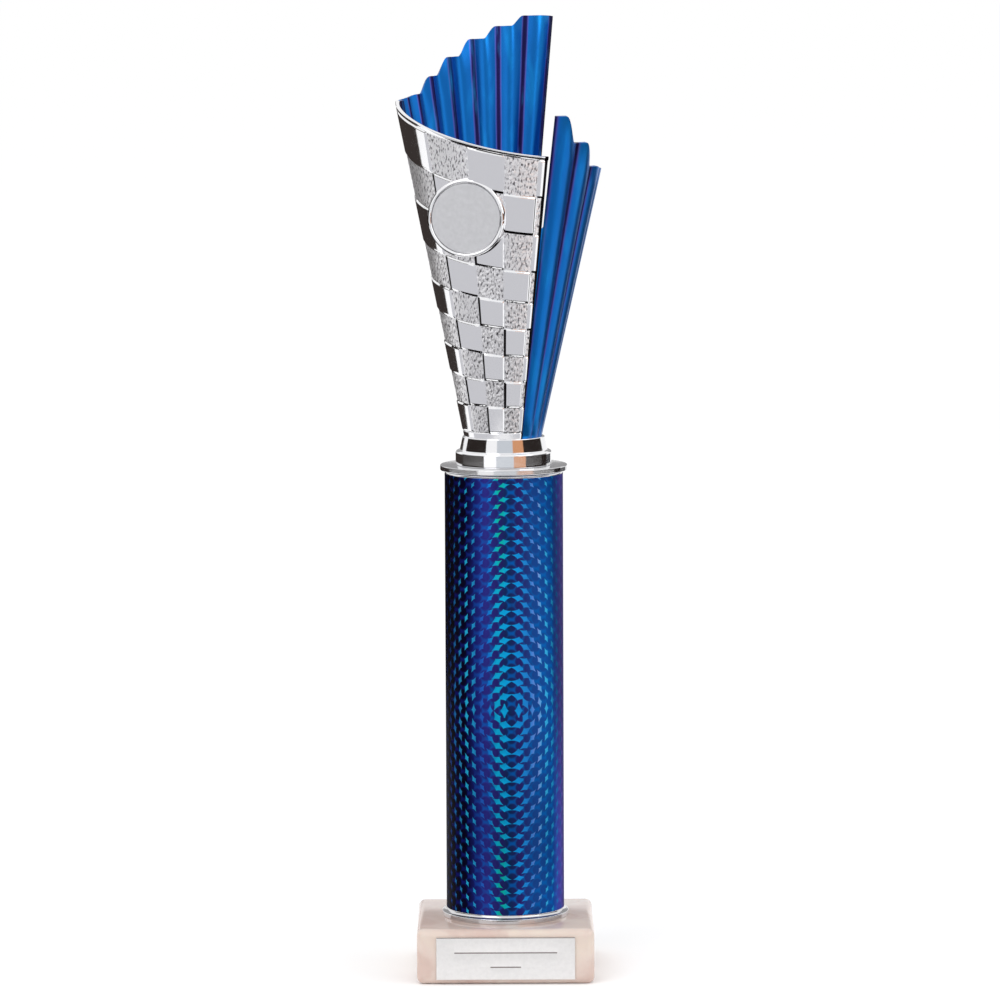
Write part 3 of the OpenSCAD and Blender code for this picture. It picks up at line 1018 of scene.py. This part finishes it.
def threadTree(length):
    # a cylinder whose skin follows the thread: its depth depends on height and turn together
    tree, size = newTree("screwThread", ("radius", "pitch", "depth", "bottom", "length"))
    blank = addNode(tree, "GeometryNodeMeshCylinder", {
        "Vertices": rod["segments"], "Side Segments": round(length / rod["pitch"] * rod["rowsPerPitch"]),
        "Radius": 1.0, "Depth": 1.0}, fill_type="TRIANGLE_FAN")
    start = addNode(tree, "GeometryNodeInputPosition")
    flat = addNode(tree, "SeparateXYZ", [start]).outputs
    angle = addNode(tree, "Math", [flat[1], flat[0]], "ARCTAN2")
    height = addNode(tree, "MapRange", [flat[2], -0.5, 0.5, 0, size["length"]])
    turned = addNode(tree, "Math", [angle, turn], "DIVIDE")
    risen = addNode(tree, "Math", [height, size["pitch"]], "DIVIDE")
    turns = addNode(tree, "Math", [risen, turned], "SUBTRACT")
    groove = addNode(tree, "Math", [turns, 0.5], "PINGPONG")
    steep = addNode(tree, "Math", [size["depth"], 2.0], "MULTIPLY")
    deep = addNode(tree, "Math", [groove, steep], "MULTIPLY")
    fromTop = addNode(tree, "Math", [size["length"], height], "SUBTRACT")
    fromEnd = addNode(tree, "Math", [height, fromTop], "MINIMUM")
    taper = addNode(tree, "MapRange", [fromEnd, 0, rod["taper"], rod["endCut"], 0])
    cut = addNode(tree, "Math", [deep, taper], "MAXIMUM")
    radius = addNode(tree, "Math", [size["radius"], cut], "SUBTRACT")
    level = addNode(tree, "VectorMath", [start, (1, 1, 0)], "MULTIPLY")
    ring = addNode(tree, "VectorMath", {0: level, "Scale": radius}, "SCALE")
    raised = addNode(tree, "Math", [height, size["bottom"]], "ADD")
    lift = addNode(tree, "CombineXYZ", [0.0, 0.0, raised])
    place = addNode(tree, "VectorMath", [ring, lift], "ADD")
    endTree(tree, blank.outputs["Mesh"], place, zincSteel)
    return tree


def makeRod():
    low, high = heights("tie_rod")
    values = {"radius": rod["radius"], "pitch": rod["pitch"], "depth": rod["depth"],
              "bottom": low, "length": high - low}
    piece = growPiece("tieRod", threadTree(high - low), values)
    piece.data.shade_smooth()
    return piece


standFor(makeRod(), "tie_rod")

nut = {
    "across": 10.0,  # mm over the flats
    "chamfer": 30,  # degrees
    "faceInset": 0.25,  # mm from the flats to the edge of the end faces
    "faceRise": 0.12,
    "segments": 72,
}


def makeNut(name, node):
    # a hexagon nut: the corners are turned off at both ends, which leaves curved flats
    low, high = heights(node)
    flat, count = nut["across"] / 2, nut["segments"]
    face = flat - nut["faceInset"]
    points, sides = [], []
    for i in range(count):
        angle = turn * i / count
        corner = flat / math.cos((angle + math.pi / 6) % (math.pi / 3) - math.pi / 6)
        cut = nut["faceRise"] + (corner - flat) * math.tan(math.radians(nut["chamfer"]))
        side = [(rod["radius"], low), (face, low), (corner, low + cut), (corner, high - cut),
                (face, high), (rod["radius"], high)]
        sides.append([len(points) + k for k in range(len(side))])
        points += [(r * math.cos(angle), r * math.sin(angle), z) for r, z in side]
    faces = joinRings(sides + sides[:1])
    standFor(finishMesh(newMesh(name, points, faces), zincSteel, 25), node)


makeNut("baseNut", "base_nut")
makeNut("columnNut", "column_nut")
for node, material in {"base_washer": zincSteel, "top_washer": zincSteel, "spring_washer": darkSteel,
                       "cushion_washer": fibre, "threaded_insert": brass,
                       "plate_adhesive_pad": tape, "disc_adhesive_pad": tape}.items():
    finishNode(node, material)
print("fasteners made")

# studio

studio = {
    "floor": 40.0,  # m
    "cardDistance": 0.92,  # m from the axis to the upright reflection cards
    "cardHeights": ((0.078, 0.16), (0.18, 0.36)),  # m, one strip for each band of the cup's foot
    "cardLift": 0.002,  # m between the floor and the cards that lie on it
    "camera": (-0.0014, -2.093, 0.4093),
    "aim": (-0.0014, 0.0, 0.172),
    "roll": -0.004,
    "lens": 209.3,
    "lights": {  # place, size in metres and power in watts
        "keyLight": ((-0.9, -1.3, 1.6), 1.0, 7.0),
        "fillLight": ((1.3, -0.8, 1.0), 1.2, 3.0),
    },
    "lightAim": (0, 0, 0.15),
}

# cards that show only as reflections; angles are in degrees from the front, minus is the left
uprightCards = {  # start and end angle
    "leftFlag": (-118, -48, "#2A2422"),
    "greyCard": (-18, 24, "#CDD2D8"),
    "warmCard": (24, 54, "#D89A70"),
    "rightFlag": (54, 124, "#2A2422"),
}
backCard = (150, 210, 1.5, 0.24, 0.75, "#A2A1A2")  # angles, distance, lowest and highest point
floorCards = {  # angles, and nearest and farthest distance
    "lensDark": (-22, 22, 0.115, 0.15, "#141416"),
    "frontDark": (-100, 110, 0.17, 0.36, "#1C1A1A"),
    "frontGrey": (-98, 50, 0.38, 0.95, "#CFCFD3"),
    "leftDark": (-178, -116, 0.66, 6.0, "#3A3432"),
    "rightDark": (104, 150, 0.5, 1.9, "#2A2A30"),
}


def makeFloor():
    half = studio["floor"] / 2
    corners = [(-half, -half, 0), (half, -half, 0), (half, half, 0), (-half, half, 0)]
    floor = addObject("floor", newMesh("floor", corners, [(0, 1, 2, 3)], 1))
    floor.data.materials.append(newMaterial(
        "paleFloor", Base_Color="#FFFFFF", Roughness=1.0, Specular_IOR_Level=0.0)[0])


def makeCard(name, start, end, first, second, colour):
    # a curved strip between two (distance, height) edges, glowing in its colour and hidden from the
    # camera, so it shows only in reflections
    material = bpy.data.materials.new(name)
    material.use_nodes = True
    tree = material.node_tree
    tree.nodes.clear()
    glow = addNode(tree, "Emission", {"Color": linear(colour)})
    addNode(tree, "OutputMaterial", {"Surface": glow})
    steps = 24
    points = []
    for i in range(steps + 1):
        a = math.radians(start + (end - start) * i / steps)
        points += [(r * math.sin(a), -r * math.cos(a), z) for r, z in (first, second)]
    faces = [(2 * i, 2 * i + 2, 2 * i + 3, 2 * i + 1) for i in range(steps)]
    card = addObject(name, newMesh(name, points, faces, 1))
    card.data.materials.append(material)
    for ray in ("camera", "diffuse", "shadow", "transmission"):
        setattr(card, "visible_" + ray, False)


def makeCards():
    distance, lift = studio["cardDistance"], studio["cardLift"]
    for name, (start, end, colour) in uprightCards.items():
        for low, high in studio["cardHeights"]:
            makeCard(name, start, end, (distance, low), (distance, high), colour)
    for name, (start, end, near, far, colour) in floorCards.items():
        makeCard(name, start, end, (near, lift), (far, lift), colour)
    start, end, distance, low, high, colour = backCard
    makeCard("backCard", start, end, (distance, low), (distance, high), colour)


def makeLight(name, place, size, power):
    light = bpy.data.lights.new(name, "AREA")
    light.shape = "SQUARE"
    light.size = size
    light.energy = power
    lamp = addObject(name, light)
    lamp.location = place
    aim = Vector(studio["lightAim"]) - lamp.location
    lamp.rotation_euler = aim.to_track_quat("-Z", "Y").to_euler()


def makeCamera():
    data = bpy.data.cameras.new("camera")
    data.lens = studio["lens"]
    data.sensor_width = 36.0
    data.clip_end = 200.0
    camera = addObject("camera", data)
    camera.location = studio["camera"]
    sight = Vector(studio["aim"]) - Vector(studio["camera"])
    rolled = sight.to_track_quat("-Z", "Y") @ Quaternion((0, 0, 1), studio["roll"])
    camera.rotation_euler = rolled.to_euler()
    bpy.context.scene.camera = camera


def makeWorld():
    world = bpy.data.worlds.new("softRoom")
    bpy.context.scene.world = world
    world.use_nodes = True
    setInputs(world.node_tree.nodes["Background"], {"Color": linear("#FFFFFF"), "Strength": 1.0})
    bpy.context.scene.view_settings.view_transform = "Standard"


makeFloor()
makeCards()
for name, (place, size, power) in studio["lights"].items():
    makeLight(name, place, size, power)
makeWorld()
makeCamera()
print("studio made")
